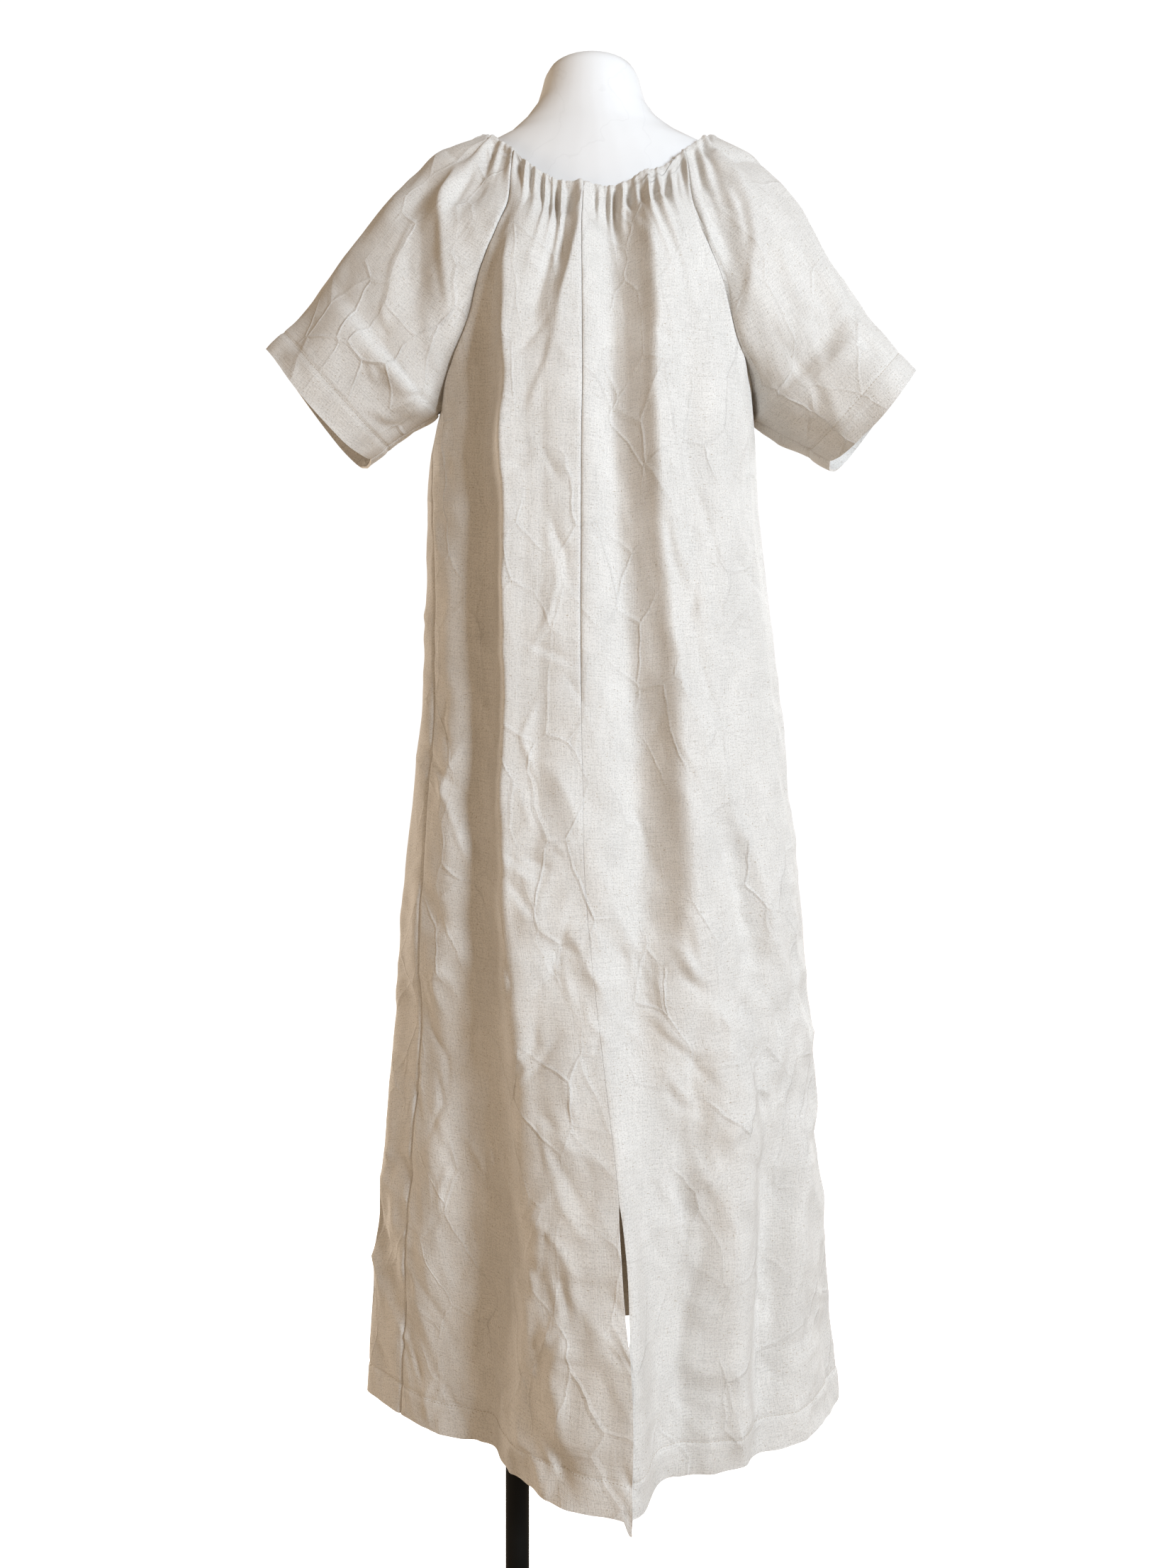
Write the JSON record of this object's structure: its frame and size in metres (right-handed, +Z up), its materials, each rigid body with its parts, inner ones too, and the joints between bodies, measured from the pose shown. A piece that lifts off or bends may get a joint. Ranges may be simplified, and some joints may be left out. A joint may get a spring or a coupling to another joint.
{
  "type": "tunic dress on limbless dress form",
  "caption": "Long gathered raglan-sleeve tunic dress with a back vent, shown hollow and open on a smooth limbless dress form on a pole and plate stand.",
  "frame": {"origin": "centre of the round base plate's underside, on the floor", "axes": "+Z up; the back of the dress faces -Y; +X is the wearer's right side"},
  "size_m": [0.674, 0.4014, 1.756],
  "materials": {
    "linen": "plain weave linen and cotton, natural oatmeal with darker slubs and flecks, matt, creased",
    "form": "smooth off-white shell, satin, faintly scuffed",
    "stand_black": "black powder coat on steel, satin"
  },
  "bodies": {
    "root": {"back_left": "linen", "back_right": "linen", "front": "linen", "sleeve_left": "linen", "sleeve_right": "linen", "form_torso": "form", "pole": "stand_black", "pole_socket": "stand_black", "base_collar": "stand_black", "base_plate": "stand_black"}
  },
  "joints": []
}
